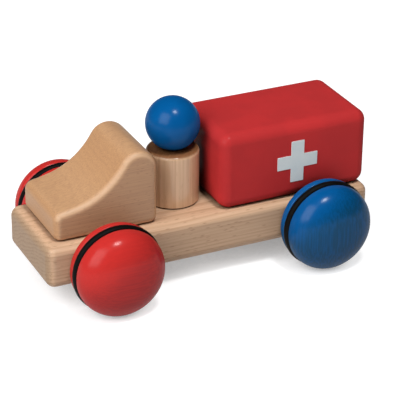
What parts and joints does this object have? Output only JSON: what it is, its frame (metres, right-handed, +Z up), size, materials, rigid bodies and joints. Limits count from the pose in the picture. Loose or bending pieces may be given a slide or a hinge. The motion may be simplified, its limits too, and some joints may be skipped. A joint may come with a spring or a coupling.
{
  "type": "toy ambulance",
  "caption": "Wooden toy ambulance: beech plank on bun-shaped wheels with rubber ring tyres, scooped hood, peg driver with ball head and a red box with a white cross.",
  "frame": {"origin": "on the ground under the middle of the chassis", "axes": "+X towards the hood (front), +Y towards the vehicle's left side, +Z up"},
  "size_m": [0.193, 0.1204, 0.0982],
  "materials": {
    "chassis_beech": "clear satin lacquer on planed beech",
    "hood_beech": "clear satin lacquer on sanded beech",
    "driver_beech": "clear satin lacquer on turned beech",
    "rod_beech": "bare beech rod",
    "red_lacquer": "satin red lacquer on wood",
    "white_foil": "matt white foil",
    "blue_lacquer": "glossy blue lacquer on wood",
    "red_stain": "glossy red stain on turned wood",
    "blue_stain": "glossy blue stain on turned wood",
    "tyre_rubber": "matt black rubber"
  },
  "bodies": {
    "chassis": {"chassis": "chassis_beech", "hood": "hood_beech", "hood_dowel_front": "rod_beech", "hood_dowel_rear": "rod_beech", "ambulance_box": "red_lacquer", "box_dowel_front": "rod_beech", "box_dowel_rear": "rod_beech", "cross_left": "white_foil", "cross_right": "white_foil"},
    "front_wheels": {"front_axle": "rod_beech", "front_left_wheel": "red_stain", "front_right_wheel": "red_stain", "front_left_tyre": "tyre_rubber", "front_right_tyre": "tyre_rubber"},
    "rear_wheels": {"rear_axle": "rod_beech", "rear_left_wheel": "blue_stain", "rear_right_wheel": "blue_stain", "rear_left_tyre": "tyre_rubber", "rear_right_tyre": "tyre_rubber"},
    "driver_seat_peg": {"seat_peg": "rod_beech"},
    "driver": {"driver_body": "driver_beech", "driver_head": "blue_lacquer", "neck_dowel": "rod_beech"}
  },
  "joints": [
    {"name": "front_wheels_turn", "type": "hinge", "parent": "chassis", "child": "front_wheels", "pos_m": [0.0619, 0, 0.0254], "axis": [0, 1, 0], "continuous": true},
    {"name": "rear_wheels_turn", "type": "hinge", "parent": "chassis", "child": "rear_wheels", "pos_m": [-0.0627, 0, 0.0254], "axis": [0, 1, 0], "continuous": true},
    {"name": "driver_lift", "type": "slide", "parent": "chassis", "child": "driver_seat_peg", "axis": [0, 0, 1], "range_m": [0, 0.06]},
    {"name": "driver_turn", "type": "hinge", "parent": "driver_seat_peg", "child": "driver", "pos_m": [0.0114, 0, 0.0376], "axis": [0, 0, 1], "continuous": true}
  ]
}
